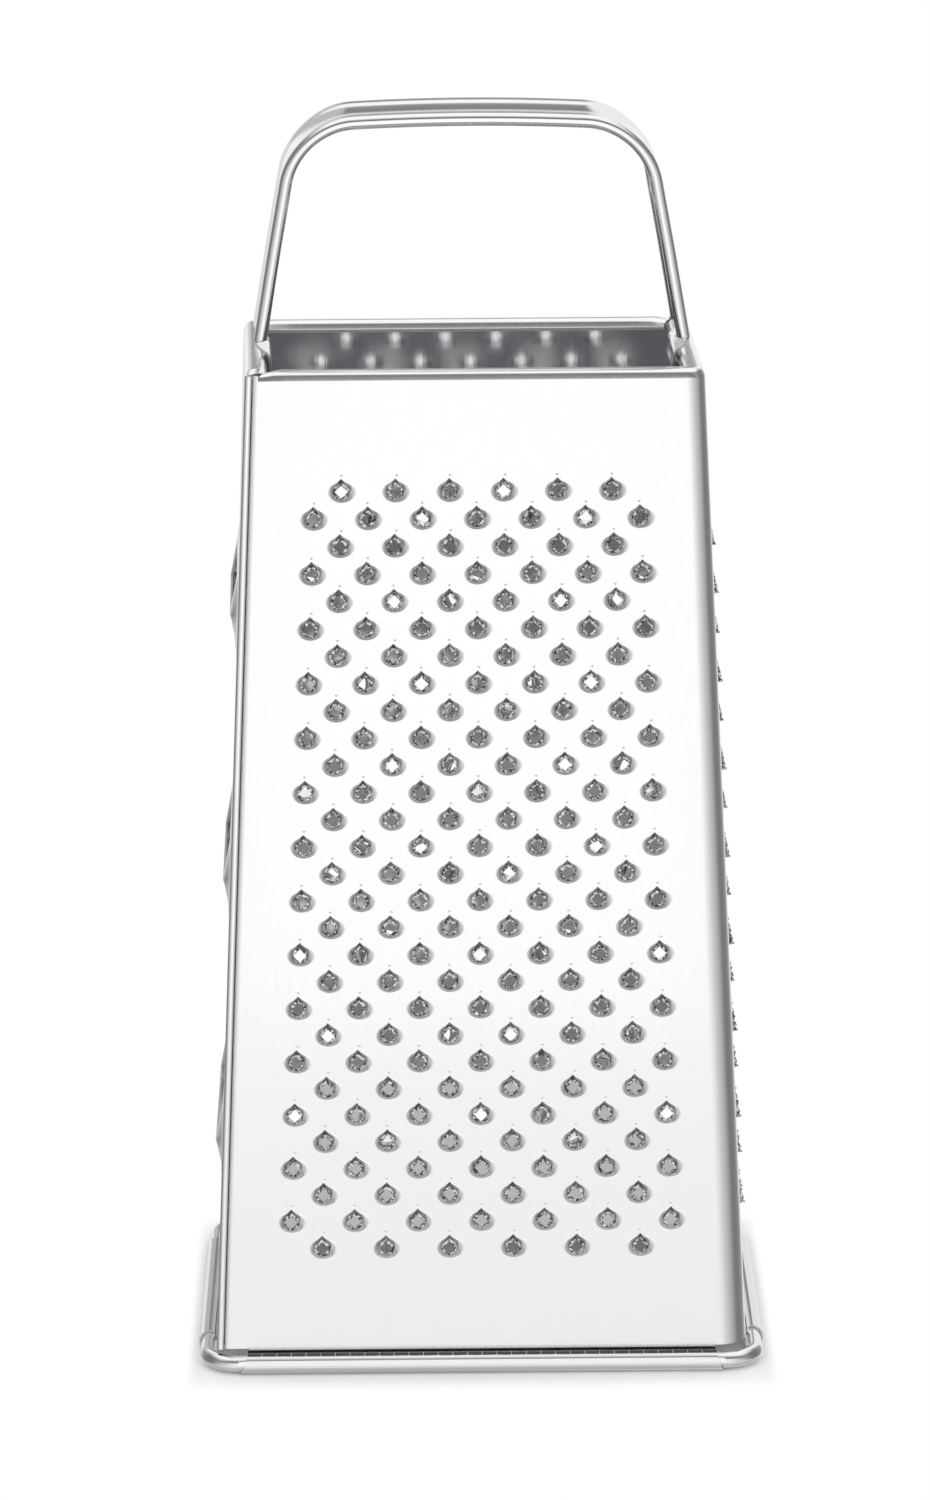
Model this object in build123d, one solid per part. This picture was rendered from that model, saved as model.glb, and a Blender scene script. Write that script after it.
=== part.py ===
from build123d import *
import math
import os

# A four-sided box grater of pressed stainless steel, in millimetres, +Z up.
# The fine face looks along -Y and the slicing side along -X. The origin is the middle of the footprint.

# Sheet metal and the play left where pieces are folded over each other
sheet_thickness = 0.4
fold_clearance = 0.05

# Tapering body, measured over the outer faces of its walls at the foot's crease and at the rim
base_width = 102.7
base_depth = 77.0
top_width = 86.6
top_depth = 51.7
rim_height = 194.4

# Rounded bend down one corner of each sheet
base_bend_radius = 5.4
top_bend_radius = 3.6

# Lock seam down the other two corners
seam_lip_width = 1.7
seam_flange_depth = 4.0
seam_fold_radius = 0.8

# Rim: each wall's top edge is rolled inward over half a turn
rim_roll_radius = 2.15
rim_leg_depth = 0.7
rim_seam_gap = 1.7
rim_bend_gap = 2.2

# Foot: each wall's bottom edge is curled outward round a wire
wire_diameter = 3.2
wire_clearance = 0.05
wire_corner_radius = 6.0
wire_joint_gap = 0.4
foot_flat_depth = 0.1
foot_crease_gap = 0.4
foot_curl_sweep = 300
wide_foot_corner_gap = 5.4
narrow_foot_corner_gap = 11.0
foot_end_slant = 0.95

# Handle strap
handle_rise = 46.0
strap_thickness = 0.5
strap_roll_diameter = 2.5
strap_roll_bore = 1.6
strap_roll_spacing = 17.3
strap_corner_radius = 13.3
strap_lean = 9.6
strap_roll_lift = 2.2
strap_end_inset = 3.0
strap_web_offset = 0.75
strap_rim_clearance = 0.35
strap_wall_clearance = 0.02
strap_neck_radius = 1.9
strap_neck_drop = 0.3
strap_jog_drop = 1.3
strap_jog_height = 5.5
strap_tab_length = 18.0
weld_dent_diameter = 4.0
weld_dent_depth = 0.1
weld_dent_spacing = 7.0

# Fine teeth of the front face: small diamond holes with a raised burr all round
tooth_columns = 7
tooth_row_pitch = 5.26
tooth_top_margin = 22.65
tooth_bottom_margin = 19.0
tooth_side_margin = 13.7
tooth_hole_side = 1.75
tooth_base_side = 3.1
tooth_crown_side = 1.95
tooth_rise = 0.8

# Coarse holes of the back face
coarse_columns = 5
coarse_row_pitch = 18.7
coarse_top_margin = 38.4
coarse_bottom_margin = 15.0
coarse_side_margin = 13.4
coarse_hole_diameter = 8.2
coarse_base_diameter = 11.4
coarse_crown_diameter = 8.6
coarse_rise = 2.2

# Medium holes of the right side
medium_columns = 7
medium_row_pitch = 8.56
medium_top_margin = 34.2
medium_bottom_margin = 19.0
medium_side_margin = 9.0
medium_hole_diameter = 3.8
medium_base_diameter = 5.6
medium_crown_diameter = 4.2
medium_rise = 1.15

# Slicing slots of the left side
slot_pitch = 51.7
slot_top_margin = 48.9
slot_bottom_margin = 26.0
slot_side_margin = 8.5
slot_rise = 1.5
slot_lower_ramp = 11.5
slot_upper_ramp = 9.5
slot_end_ramp = 4.0
slot_opening_end = 2.0
slot_opening_height = 7.0
slot_edge_width = 0.35

# One overrun takes every cutting tool clear of what it cuts
overrun = 3.0

shoulder_height = rim_height - rim_roll_radius
foot_roll_radius = wire_diameter / 2 + wire_clearance + sheet_thickness
foot_bore_radius = foot_roll_radius - sheet_thickness
foot_centre_height = foot_roll_radius - foot_flat_depth
crease_height = foot_centre_height + foot_roll_radius + foot_crease_gap
handle_height = rim_height + handle_rise


def along_wall(height):
    """Share of the way from the crease to the rim."""
    return (height - crease_height) / (rim_height - crease_height)


def half_width(height):
    return (base_width + (top_width - base_width) * along_wall(height)) / 2


def half_depth(height):
    return (base_depth + (top_depth - base_depth) * along_wall(height)) / 2


def bend_radius(height):
    return base_bend_radius + (top_bend_radius - base_bend_radius) * along_wall(height)


def polygon_face(points):
    return make_face(Polyline(*points, close=True).edges())


def wall_section(height):
    """Plan of one bent sheet at a height: wide wall on -Y, narrow wall on +X."""
    a = half_width(height)
    b = half_depth(height)
    t = sheet_thickness
    flange_x = -a + t + fold_clearance
    bend = bend_radius(height)
    fold = seam_fold_radius
    lip_y = b + fold_clearance
    edges = [
        Line((flange_x, -b + seam_flange_depth), (flange_x, -b + fold)),
        CenterArc((flange_x + fold, -b + fold), fold, 180, 90),
        Line((flange_x + fold, -b), (a - bend, -b)),
        CenterArc((a - bend, -b + bend), bend, -90, 90),
        Line((a, -b + bend), (a, lip_y + t - fold)),
        CenterArc((a - fold, lip_y + t - fold), fold, 0, 90),
        Line((a - fold, lip_y + t), (a - seam_lip_width, lip_y + t)),
        Line((a - seam_lip_width, lip_y + t), (a - seam_lip_width, lip_y)),
        Line((a - seam_lip_width, lip_y), (a - fold, lip_y)),
        CenterArc((a - fold, lip_y + t - fold), fold - t, 0, 90),
        Line((a - t, lip_y + t - fold), (a - t, -b + bend)),
        CenterArc((a - bend, -b + bend), bend - t, -90, 90),
        Line((a - bend, -b + t), (flange_x + fold, -b + t)),
        CenterArc((flange_x + fold, -b + fold), fold - t, 180, 90),
        Line((flange_x + t, -b + fold), (flange_x + t, -b + seam_flange_depth)),
        Line((flange_x + t, -b + seam_flange_depth), (flange_x, -b + seam_flange_depth)),
    ]
    return Pos(0, 0, height) * make_face(edges)


def body_walls():
    """Both walls with their bend, the seam flange and the seam lip, from the crease to the shoulder."""
    return loft([wall_section(crease_height), wall_section(shoulder_height)], ruled=True)


def rim_roll(reach_in_x, reach_in_y, start_gap, end_gap):
    """Rolled top edge of a wall on -Y, with a gap to the corner at each end."""
    r = rim_roll_radius
    t = sheet_thickness
    top = shoulder_height
    y = -reach_in_y
    leg_end = top - rim_leg_depth
    profile = make_face(
        [
            CenterArc((y + r, top), r, 0, 180),
            Line((y, top), (y + t, top)),
            CenterArc((y + r, top), r - t, 0, 180),
            Line((y + 2 * r - t, top), (y + 2 * r - t, leg_end)),
            Line((y + 2 * r - t, leg_end), (y + 2 * r, leg_end)),
            Line((y + 2 * r, leg_end), (y + 2 * r, top)),
        ]
    )
    strip = extrude(Plane.YZ * profile, amount=reach_in_x, both=True)
    start = -reach_in_x + start_gap
    end = reach_in_x - end_gap
    # The ends are mitred at 45 degrees, so that neighbouring rolls clear each other
    footprint = polygon_face(
        [
            (start - overrun, y - overrun),
            (end + overrun, y - overrun),
            (end - 2 * r - overrun, y + 2 * r + overrun),
            (start + 2 * r + overrun, y + 2 * r + overrun),
        ]
    )
    prism = Pos(0, 0, leg_end - overrun) * extrude(footprint, amount=rim_leg_depth + r + 2 * overrun)
    return strip & prism


def foot_roll(reach_in_x, reach_in_y, corner_gap):
    """Bottom edge of a wall on -Y, curled outward round the wire, with slanted ends."""
    r = foot_roll_radius
    t = sheet_thickness
    y = -reach_in_y
    centre = (y - foot_bore_radius, foot_centre_height)
    # Seen along X the curl runs from the wall, under the wire, out and back over the top
    outer_curl = CenterArc(centre, r, 0, -foot_curl_sweep)
    inner_curl = CenterArc(centre, foot_bore_radius, 0, -foot_curl_sweep)
    profile = make_face(
        [
            outer_curl,
            Line(outer_curl @ 1, inner_curl @ 1),
            inner_curl,
            Line(inner_curl @ 0, (y, crease_height)),
            Line((y, crease_height), (y + t, crease_height)),
            Line((y + t, crease_height), outer_curl @ 0),
        ]
    )
    strip = extrude(Plane.YZ * profile, amount=reach_in_x, both=True)
    half = reach_in_x - corner_gap
    front_view = polygon_face(
        [
            (-half - foot_end_slant, 0),
            (half + foot_end_slant, 0),
            (half - foot_end_slant, crease_height),
            (-half + foot_end_slant, crease_height),
        ]
    )
    depth = 2 * r + 2 * overrun
    prism = extrude(Plane.XZ.offset(reach_in_y - overrun) * front_view, amount=depth)
    return strip & prism


def quarter_turn(shape):
    """Takes a piece made for the wide wall on -Y round to the narrow wall on +X."""
    return Rot(0, 0, 90) * shape


def wide_wall_plane(height):
    """Plane on the outer face of the wall on -Y: x to the right, y up the slope, z outward."""
    lean = math.atan((base_depth - top_depth) / 2 / (rim_height - crease_height))
    outward = (0, -math.cos(lean), math.sin(lean))
    return Plane(origin=(0, -half_depth(height), height), x_dir=(1, 0, 0), z_dir=outward)


def narrow_wall_plane(height):
    """Plane on the outer face of the wall on +X: x to the right, y up the slope, z outward."""
    lean = math.atan((base_width - top_width) / 2 / (rim_height - crease_height))
    outward = (math.cos(lean), 0, math.sin(lean))
    return Plane(origin=(half_width(height), 0, height), x_dir=(0, 1, 0), z_dir=outward)


def row_heights(top_margin, bottom_margin, pitch):
    """Heights of as many rows as a wall has room for, from the top down."""
    top = rim_height - top_margin
    room = top - crease_height - bottom_margin
    return [top - row * pitch for row in range(int(room / pitch) + 1)]


def staggered_places(heights, columns, half_span):
    """Places of a staggered pattern: every other row has one hole less, between the others."""
    places = []
    for row, height in enumerate(heights):
        spacing = 2 * half_span(height) / (columns - 1)
        count = columns - 1 if row % 2 == 0 else columns
        for column in range(count):
            places.append(((column - (count - 1) / 2) * spacing, height))
    return places


def fine_tooth():
    """Raised burr round a diamond hole."""
    base = Rot(0, 0, 45) * Rectangle(tooth_base_side, tooth_base_side)
    crown = Rot(0, 0, 45) * Rectangle(tooth_crown_side, tooth_crown_side)
    return loft([Pos(0, 0, -sheet_thickness / 2) * base, Pos(0, 0, tooth_rise) * crown], ruled=True)


def fine_hole():
    side = tooth_hole_side
    height = tooth_rise + sheet_thickness + overrun
    return Rot(0, 0, 45) * Pos(0, 0, -sheet_thickness - overrun / 2) * extrude(Rectangle(side, side), height)


def scoop(base_diameter, crown_diameter, rise):
    """Raised lip of a shredding hole: high and sharp below the hole, flush with the wall above it."""
    root = sheet_thickness / 2
    cone = Pos(0, 0, (rise - root) / 2) * Cone(base_diameter / 2, crown_diameter / 2, rise + root)
    reach = base_diameter / 2
    # The lip's edge slants from its full height below the hole down to the wall above it
    slant = polygon_face(
        [
            (-reach, rise),
            (reach, 0),
            (reach + overrun, 0),
            (reach + overrun, rise + overrun),
            (-reach - overrun, rise + overrun),
            (-reach - overrun, rise),
        ]
    )
    return cone - extrude(Plane.YZ * slant, amount=base_diameter, both=True)


def round_hole(diameter, rise):
    height = rise + sheet_thickness + 2 * overrun
    return Pos(0, 0, height / 2 - sheet_thickness - overrun) * Cylinder(diameter / 2, height)


def slicer_hood(half_length, sink):
    """Hipped ridge over a slicing slot, sunk by a distance into the wall."""
    ramps = slot_lower_ramp + slot_upper_ramp
    middle = (slot_upper_ramp - slot_lower_ramp) / 2
    base = Pos(0, middle, -sink) * Rectangle(2 * half_length, ramps)
    crest = Pos(0, -slot_edge_width / 2, slot_rise - sink) * Rectangle(
        2 * (half_length - slot_end_ramp), slot_edge_width
    )
    return loft([base, crest], ruled=True)


def slicer_tools(height):
    """The hood that is added at one slot, and the cavity and opening that are cut from it."""
    half_length = half_depth(height) - slot_side_margin
    plane = narrow_wall_plane(height)
    hood = slicer_hood(half_length, 0)
    cavity = slicer_hood(half_length, sheet_thickness)
    opening_length = 2 * (half_length - slot_end_ramp - slot_opening_end)
    opening = Pos(0, slot_opening_height / 2, 0) * Box(
        opening_length, slot_opening_height, 2 * (slot_rise + overrun)
    )
    return plane.location * hood, [plane.location * cavity, plane.location * opening]


def plain_sheet():
    """One bent sheet with its rims and feet, before any holes."""
    a = half_width(shoulder_height)
    b = half_depth(shoulder_height)
    wide_rim = rim_roll(a, b, rim_seam_gap, rim_bend_gap)
    narrow_rim = quarter_turn(rim_roll(b, a, rim_bend_gap, rim_seam_gap))
    wide_foot = foot_roll(half_width(crease_height), half_depth(crease_height), wide_foot_corner_gap)
    narrow_foot = quarter_turn(
        foot_roll(half_depth(crease_height), half_width(crease_height), narrow_foot_corner_gap)
    )
    return body_walls() + [wide_rim, narrow_rim, wide_foot, narrow_foot]


def place_all(shape, places, plane_at):
    return [plane_at(height).location * Pos(across, 0, 0) * shape for across, height in places]


def front_right_sheet():
    """Sheet with the fine teeth on its wide wall and the medium holes on its narrow wall."""
    fine_places = staggered_places(
        row_heights(tooth_top_margin, tooth_bottom_margin, tooth_row_pitch),
        tooth_columns,
        lambda height: half_width(height) - tooth_side_margin,
    )
    medium_places = staggered_places(
        row_heights(medium_top_margin, medium_bottom_margin, medium_row_pitch),
        medium_columns,
        lambda height: half_depth(height) - medium_side_margin,
    )
    lip = scoop(medium_base_diameter, medium_crown_diameter, medium_rise)
    raised = place_all(fine_tooth(), fine_places, wide_wall_plane)
    raised += place_all(lip, medium_places, narrow_wall_plane)
    holes = place_all(fine_hole(), fine_places, wide_wall_plane)
    holes += place_all(round_hole(medium_hole_diameter, medium_rise), medium_places, narrow_wall_plane)
    return (plain_sheet() + raised) - holes


def back_left_sheet():
    """Sheet with the coarse holes on its wide wall and the slicing slots on its narrow wall."""
    coarse_places = staggered_places(
        row_heights(coarse_top_margin, coarse_bottom_margin, coarse_row_pitch),
        coarse_columns,
        lambda height: half_width(height) - coarse_side_margin,
    )
    lip = scoop(coarse_base_diameter, coarse_crown_diameter, coarse_rise)
    raised = place_all(lip, coarse_places, wide_wall_plane)
    holes = place_all(round_hole(coarse_hole_diameter, coarse_rise), coarse_places, wide_wall_plane)
    for crest_height in row_heights(slot_top_margin, slot_bottom_margin, slot_pitch):
        hood, cuts = slicer_tools(crest_height)
        raised.append(hood)
        holes += cuts
    # The second sheet is the first one's outline turned half round
    return Rot(0, 0, 180) * ((plain_sheet() + raised) - holes)


def base_wire():
    """Foot wire: a rectangle with round corners, butted in the middle of the back."""
    reach_x = half_width(crease_height) + foot_bore_radius
    reach_y = half_depth(crease_height) + foot_bore_radius
    gap = wire_joint_gap / 2
    points = [
        (gap, reach_y),
        (reach_x, reach_y),
        (reach_x, -reach_y),
        (-reach_x, -reach_y),
        (-reach_x, reach_y),
        (-gap, reach_y),
    ]
    path = Pos(0, 0, foot_centre_height) * FilletPolyline(*points, radius=wire_corner_radius)
    start = Plane(origin=path @ 0, z_dir=path % 0)
    return sweep(start * Circle(wire_diameter / 2), path=path)


def strap_leg_x(height, offset):
    """Half span of the handle's leg at a height, measured offset outside the rolls' centres."""
    lean = math.radians(strap_lean)
    roll_end = rim_height + strap_roll_lift
    foot_x = half_width(rim_height) - strap_end_inset
    return foot_x - (height - roll_end) * math.tan(lean) + offset / math.cos(lean)


def strap_jog_top():
    """Height under the rim where the strap starts to slant out to the wall."""
    return shoulder_height - rim_leg_depth - strap_jog_drop


def strap_web():
    """The strap's sheet: over the top, down both legs, round the rim and down inside the narrow walls."""
    top = handle_height - strap_roll_diameter / 2 + strap_web_offset
    neck_height = rim_height + strap_roll_lift - strap_neck_drop
    inner_x = (
        half_width(rim_height) - 2 * rim_roll_radius - strap_rim_clearance - strap_thickness / 2
    )
    hook_height = rim_height - strap_neck_drop
    jog_top = strap_jog_top()
    tab_top = jog_top - strap_jog_height
    tab_end = tab_top - strap_tab_length
    wall_gap = sheet_thickness + strap_wall_clearance + strap_thickness / 2
    half = [
        (half_width(tab_end) - wall_gap, tab_end),
        (half_width(tab_top) - wall_gap, tab_top),
        (inner_x, jog_top),
        (inner_x, hook_height),
        (strap_leg_x(neck_height, strap_web_offset), neck_height),
        (strap_leg_x(top, strap_web_offset), top),
    ]
    points = half + [(-x, z) for x, z in reversed(half)]
    neck = [strap_neck_radius] * 4
    crown = [strap_corner_radius + strap_web_offset] * 2
    path = FilletPolyline(*points, radius=neck + crown + neck)
    profile = Plane.XZ * trace(path, strap_thickness)
    return extrude(profile, amount=strap_roll_spacing / 2, both=True)


def strap_roll(side, diameter):
    """A round bar along one rolled edge of the strap."""
    top = handle_height - strap_roll_diameter / 2
    end = rim_height + strap_roll_lift
    points = [
        (strap_leg_x(end, 0), end),
        (strap_leg_x(top, 0), top),
        (-strap_leg_x(top, 0), top),
        (-strap_leg_x(end, 0), end),
    ]
    path = Plane.XZ.offset(side * strap_roll_spacing / 2) * FilletPolyline(
        *points, radius=strap_corner_radius
    )
    start = Plane(origin=path @ 0, z_dir=path % 0)
    return sweep(start * Circle(diameter / 2), path=path)


def weld_dents():
    """Shallow electrode marks where each tab is spot welded to its wall."""
    height = strap_jog_top() - strap_jog_height - strap_tab_length / 2
    lean = math.atan((base_width - top_width) / 2 / (rim_height - crease_height))
    face_x = half_width(height) - sheet_thickness - strap_wall_clearance - strap_thickness
    dents = []
    for side in (-1, 1):
        for across in (-weld_dent_spacing / 2, weld_dent_spacing / 2):
            plane = Plane(
                origin=(side * (face_x + weld_dent_depth), across, height),
                z_dir=(-side * math.cos(lean), 0, -math.sin(lean)),
            )
            dent = Cylinder(weld_dent_diameter / 2, weld_dent_depth + overrun)
            dents.append(plane.location * Pos(0, 0, (weld_dent_depth + overrun) / 2) * dent)
    return dents


def handle_strap():
    """Carrying handle with both long edges rolled into small tubes."""
    bars = [strap_roll(side, strap_roll_diameter) for side in (-1, 1)]
    bores = [strap_roll(side, strap_roll_bore) for side in (-1, 1)]
    return (strap_web() + bars) - bores - weld_dents()


parts = {
    "front_right_sheet": front_right_sheet(),
    "back_left_sheet": back_left_sheet(),
    "base_wire": base_wire(),
    "handle_strap": handle_strap(),
}

os.makedirs("parts", exist_ok=True)
for name, shape in parts.items():
    shape.label = name
    export_step(shape, os.path.join("parts", name + ".step"))
    print(name, "volume", round(shape.volume), "solids", len(shape.solids()))
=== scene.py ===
# %% [markdown]
# A box grater is four sloping walls of thin stainless steel that stand round an open middle.
# This lesson dresses the measured model with the detail that pressed steel shows: the torn burr of each
# fine tooth, the crowns and lips of the larger holes, rolled rims, a curled foot and a handle with rolled
# edges. The measured model comes first and is never moved, so every piece is laid out in the same frame.

# %% Load the measured model
import math
import random
import bpy
from mathutils import Matrix, Vector
from mathutils.geometry import delaunay_2d_cdt


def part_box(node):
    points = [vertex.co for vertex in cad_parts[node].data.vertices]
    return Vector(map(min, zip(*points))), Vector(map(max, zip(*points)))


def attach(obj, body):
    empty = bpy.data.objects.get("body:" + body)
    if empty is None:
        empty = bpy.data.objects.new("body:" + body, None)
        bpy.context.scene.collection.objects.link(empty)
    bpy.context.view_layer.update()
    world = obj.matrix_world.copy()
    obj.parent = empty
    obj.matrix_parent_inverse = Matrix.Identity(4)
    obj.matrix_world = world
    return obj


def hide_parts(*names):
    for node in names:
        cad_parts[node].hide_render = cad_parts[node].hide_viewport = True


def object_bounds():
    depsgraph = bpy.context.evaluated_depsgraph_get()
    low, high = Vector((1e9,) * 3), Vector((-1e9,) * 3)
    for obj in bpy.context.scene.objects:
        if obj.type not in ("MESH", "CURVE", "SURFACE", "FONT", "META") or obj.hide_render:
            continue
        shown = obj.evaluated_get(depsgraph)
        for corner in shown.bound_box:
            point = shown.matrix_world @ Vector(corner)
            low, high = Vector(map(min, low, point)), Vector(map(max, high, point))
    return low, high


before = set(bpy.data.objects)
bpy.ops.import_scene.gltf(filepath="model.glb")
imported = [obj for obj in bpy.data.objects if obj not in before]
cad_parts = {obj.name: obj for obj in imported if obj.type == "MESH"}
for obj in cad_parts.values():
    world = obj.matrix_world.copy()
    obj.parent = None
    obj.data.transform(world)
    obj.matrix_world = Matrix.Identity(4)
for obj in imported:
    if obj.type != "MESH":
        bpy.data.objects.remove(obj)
cad_box = [list(corner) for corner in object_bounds()]
print("measured model, metres:", cad_box)

# %% [markdown]
# The walls lean in evenly from the crease above the foot to the rim, so two sizes at the crease and two at
# the rim give every width between them. All sizes are real millimetres, and one factor turns them to metres.

# %% Body sizes
MILLIMETRE = 0.001
SHEET = 0.4
FOLD_PLAY = 0.05
BASE_WIDTH, BASE_DEPTH = 102.7, 77.0
TOP_WIDTH, TOP_DEPTH = 86.6, 51.7
BASE_BEND, TOP_BEND = 5.4, 3.6
RIM_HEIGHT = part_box("front_right_sheet")[1].z / MILLIMETRE
WIRE_DIAMETER = (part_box("base_wire")[1].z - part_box("base_wire")[0].z) / MILLIMETRE
FOOT_FLAT = 0.1
CREASE_GAP = 0.4
FOOT_BORE = WIRE_DIAMETER / 2 + FOLD_PLAY
FOOT_CENTRE = FOOT_BORE + SHEET - FOOT_FLAT
CREASE = FOOT_CENTRE + FOOT_BORE + SHEET + CREASE_GAP


def share_up(height):
    """Share of the way from the crease to the rim."""
    return (height - CREASE) / (RIM_HEIGHT - CREASE)


def half_width(height):
    return (BASE_WIDTH + (TOP_WIDTH - BASE_WIDTH) * share_up(height)) / 2


def half_depth(height):
    return (BASE_DEPTH + (TOP_DEPTH - BASE_DEPTH) * share_up(height)) / 2


def bend_radius(height):
    return BASE_BEND + (TOP_BEND - BASE_BEND) * share_up(height)


WIDE_LEAN = math.atan((BASE_DEPTH - TOP_DEPTH) / 2 / (RIM_HEIGHT - CREASE))
NARROW_LEAN = math.atan((BASE_WIDTH - TOP_WIDTH) / 2 / (RIM_HEIGHT - CREASE))
print("rim height", round(RIM_HEIGHT, 2), "crease", round(CREASE, 2))
print("lean of the wide and narrow walls:", [round(math.degrees(v), 2) for v in (WIDE_LEAN, NARROW_LEAN)])

# %% [markdown]
# The rim is each wall's top edge rolled inward over half a turn. It could be one round arc, but a press
# rolls it in steps, and each tighter bend catches the light as a line. So its profile is a run of bends,
# each from one angle off upright to another over so many millimetres. The flat wall ends where it starts.

# %% Profile of the rim
BEND_PARTS = 4
RIM_BENDS = (
    (0, 20, 0.25), (20, 25, 0.95), (25, 42, 0.2), (42, 74, 0.9), (74, 84, 0.3), (84, 92, 1.2),
    (92, 104, 0.3), (104, 138, 0.9), (138, 155, 0.2), (155, 160, 0.9), (160, 195, 0.25), (195, 195, 0.5),
)


def bent_profile(bends):
    """(inward, up) along a run of bends."""
    inward, up = 0.0, 0.0
    points = [(inward, up)]
    for start, end, length in bends:
        for i in range(BEND_PARTS):
            turn = math.radians(start + (end - start) * (i + 0.5) / BEND_PARTS)
            inward += math.sin(turn) * length / BEND_PARTS
            up += math.cos(turn) * length / BEND_PARTS
            points.append((inward, up))
    return points


RIM_PROFILE = bent_profile(RIM_BENDS)
SHOULDER = RIM_HEIGHT - max(up for _, up in RIM_PROFILE)
print("the flat walls end at", round(SHOULDER, 2), "and the rim's profile has", len(RIM_PROFILE), "points")

# %% [markdown]
# Thin sheet is easily racked: the back of this grater's top has been knocked a little to the left, and the
# foot has held. The measured model is kept true, and only the dressed pieces take on that slight twist.

# %% Racked top
RACK = 0.028


def rack(mesh):
    """Slides the top of a mesh sideways, more the further back it lies."""
    for vertex in mesh.vertices:
        x, y, z = (value / MILLIMETRE for value in vertex.co)
        share = min(max(share_up(z), 0.0), 1.0)
        vertex.co.x = (x - RACK * (y + TOP_DEPTH / 2) * share) * MILLIMETRE
    mesh.update()


print("the back of the rim is racked", round(RACK * TOP_DEPTH, 2), "mm to the left")

# %% [markdown]
# A pressed sheet has no thickness while it is being thought about: it is one skin, and metal lies behind it.
# So each sheet is drawn as its outer skin, and the inner skin is added afterwards along the skin's own
# normals. A solidify modifier does that too, but here a corner may ask for thinner metal, which is how torn
# teeth get their thin tips. Each face also has a finish number, which picks its material. The inner skin
# wears the inside finish, except where the metal is torn right through, where the fold round a tooth has
# painted shade, and where a crevice has painted shade on both sides. A crease line has painted shade on the
# outer skin alone.

# %% A skin that turns into sheet metal
# The last three finishes carry painted shade: round a tooth's fold, in crevices and along crease lines.
WALL, CUT_EDGE, TORN, INSIDE, SHADED_FOLD, SHADED_CREVICE, SHADED_CREASE_LINE = range(7)
SHARP_ANGLE = 38


class Skin:
    """Corners and faces in millimetres. Corners that coincide are shared."""

    def __init__(self):
        self.corners = []
        self.metal = []
        self.faces = []
        self.finishes = []
        self.seen = {}

    def corner(self, place, metal=SHEET):
        key = tuple(math.floor(value * 1000 + 0.37) for value in place)
        if key not in self.seen:
            self.seen[key] = len(self.corners)
            self.corners.append(tuple(place))
            self.metal.append(metal)
        return self.seen[key]

    def face(self, indices, finish=WALL):
        ring = []
        for index in indices:
            if index not in ring:
                ring.append(index)
        if len(ring) > 2:
            self.faces.append(ring)
            self.finishes.append(finish)

    def grid(self, rows, finish=WALL, closed=False):
        """Quads between rows of corner numbers. Rows that run round a ring are closed."""
        for low, high in zip(rows, rows[1:]):
            count = len(low)
            for i in range(count if closed else count - 1):
                j = (i + 1) % count
                self.face((low[i], low[j], high[j], high[i]), finish)

    def mesh(self, name):
        """A Blender mesh with an inner skin, and a cut edge wherever the outer skin ends."""
        outer = bpy.data.meshes.new(name + "_skin")
        outer.from_pydata(self.corners, [], self.faces)
        outer.update()
        count = len(self.corners)
        corners = [Vector(c) for c in self.corners]
        for vertex, metal in zip(outer.vertices, self.metal):
            inner = vertex.co - vertex.normal * metal
            inner.z = max(inner.z, 0.0)
            corners.append(inner)
        bpy.data.meshes.remove(outer)
        faces = [list(f) for f in self.faces]
        finishes = list(self.finishes)
        open_edges = {}
        for ring in self.faces:
            for start, end in zip(ring, ring[1:] + ring[:1]):
                if (end, start) in open_edges:
                    del open_edges[(end, start)]
                else:
                    open_edges[(start, end)] = True
            faces.append([index + count for index in reversed(ring)])
        finishes += [INSIDE if finish in (WALL, SHADED_CREASE_LINE) else finish for finish in self.finishes]
        for start, end in open_edges:
            faces.append([end, start, start + count, end + count])
            finishes.append(CUT_EDGE)
        mesh = bpy.data.meshes.new(name)
        mesh.from_pydata([c * MILLIMETRE for c in corners], [], faces)
        mesh.polygons.foreach_set("material_index", finishes)
        mesh.update()
        return mesh


def add_piece(name, mesh, materials):
    """Puts a mesh in the scene as a smooth-shaded piece of the object."""
    piece = bpy.data.objects.new(name, mesh)
    bpy.context.scene.collection.objects.link(piece)
    for material in materials:
        mesh.materials.append(material)
    mesh.shade_smooth()
    mesh.set_sharp_from_angle(angle=math.radians(SHARP_ANGLE))
    piece.modifiers.new("flat_walls_shade_flat", "WEIGHTED_NORMAL").keep_sharp = True
    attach(piece, "root")
    print(name, "has", len(mesh.polygons), "faces")
    return piece


print("finish numbers run from", WALL, "to", SHADED_CREASE_LINE)

# %% [markdown]
# Steel has almost no colour of its own. What tells brushed sheet from bright wire is how it was worked.
# The walls were brushed up and down, so their shine spreads sideways, and fine upright lines show in it.
# Colours are written as a painter would pick them on a screen and turned to linear light by one function.

# %% Colours and nodes
def linear(code):
    """Linear colour from an sRGB hex code."""
    parts = [int(code[i : i + 2], 16) / 255 for i in (1, 3, 5)]
    return [p / 12.92 if p <= 0.04045 else ((p + 0.055) / 1.055) ** 2.4 for p in parts] + [1.0]


def add_node(tree, kind, settings=None, links=None):
    """Adds a node, sets its values and inputs, and links its inputs to other nodes' outputs."""
    node = tree.nodes.new(kind)
    for name, value in (settings or {}).items():
        if isinstance(name, str) and hasattr(node, name):
            setattr(node, name, value)
        else:
            node.inputs[name].default_value = value
    for name, output in (links or {}).items():
        tree.links.new(output, node.inputs[name])
    return node


def set_stops(ramp, stops):
    """Gives a colour ramp its stops, each a position from 0 to 1 and a hex colour."""
    marks = ramp.color_ramp.elements
    while len(marks) > 1:
        marks.remove(marks[-1])
    for i, (position, code) in enumerate(stops):
        mark = marks[0] if i == 0 else marks.new(position)
        mark.position = position
        mark.color = linear(code)


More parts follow.
